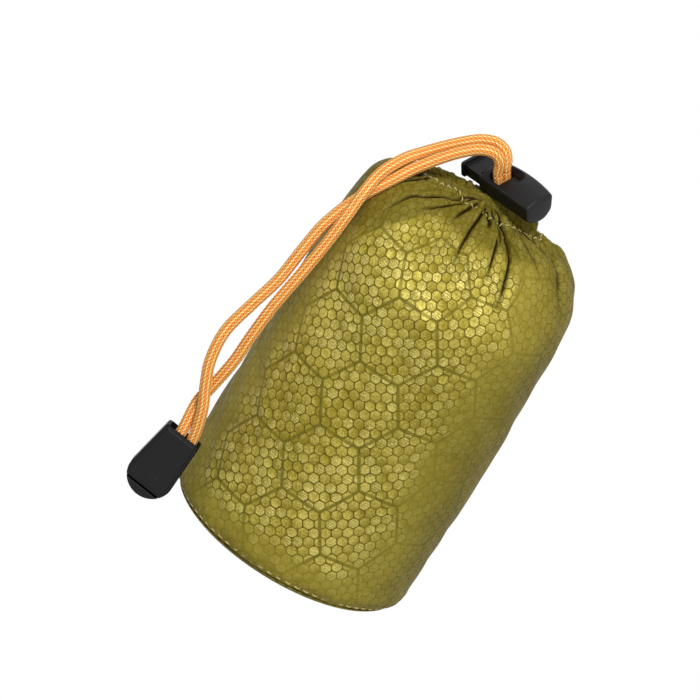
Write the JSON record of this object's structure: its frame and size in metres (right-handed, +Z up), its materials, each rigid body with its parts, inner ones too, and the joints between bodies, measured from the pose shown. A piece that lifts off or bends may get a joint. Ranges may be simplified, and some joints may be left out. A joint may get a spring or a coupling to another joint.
{
  "type": "emergency sleeping bag",
  "caption": "Rolled emergency sleeping bag in an upright olive ripstop drawstring sack, with an orange cord, a sprung cord lock and a hinged cord-end clip",
  "frame": {"origin": "centre of the underside of the round base, on the surface that the sack stands on", "axes": "+Z up along the sack, -Y toward the side seen in the picture, +X to its right; the cord ends hang on the -X side"},
  "size_m": [0.0812, 0.0705, 0.1297],
  "materials": {
    "ripstop_fabric": "olive yellow ripstop nylon with a slight sheen",
    "seam_binding": "woven seam tape, darker olive",
    "thread": "pale olive sewing thread",
    "bag_film": "folded metallised film, silvery",
    "braided_cord": "orange braided cord with flecks",
    "black_plastic": "black moulded plastic, satin",
    "spring_steel": "drawn spring wire"
  },
  "bodies": {
    "sack": {"side_panel": "ripstop_fabric", "base_panel": "ripstop_fabric", "mouth_casing": "ripstop_fabric", "base_seam_binding": "seam_binding", "side_seam_tape": "seam_binding", "base_stitching": "thread", "side_seam_stitching": "thread", "casing_stitching": "thread", "sleeping_bag_roll": "bag_film", "drawcord_casing_run": "braided_cord", "drawcord_tail_outer": "braided_cord", "drawcord_tail_inner": "braided_cord", "cord_end_knot": "braided_cord", "cord_lock_body": "black_plastic", "cord_lock_spring": "spring_steel", "clip_base": "black_plastic"},
    "plunger": {"cord_lock_plunger": "black_plastic"},
    "clip_cover": {"clip_cover": "black_plastic"}
  },
  "joints": [
    {"name": "plunger_slide", "type": "slide", "parent": "sack", "child": "plunger", "axis": [0.7929, -0.5846, 0.1719], "range_m": [0, 0.004], "stiffness_N_per_m": 250, "springref_m": -0.004, "deforming": ["cord_lock_spring"]},
    {"name": "clip_hinge", "type": "hinge", "parent": "sack", "child": "clip_cover", "pos_m": [-0.04005, -0.0305, 0.00333], "axis": [0.9925, 0, -0.1219], "range_deg": [0, 90]}
  ]
}
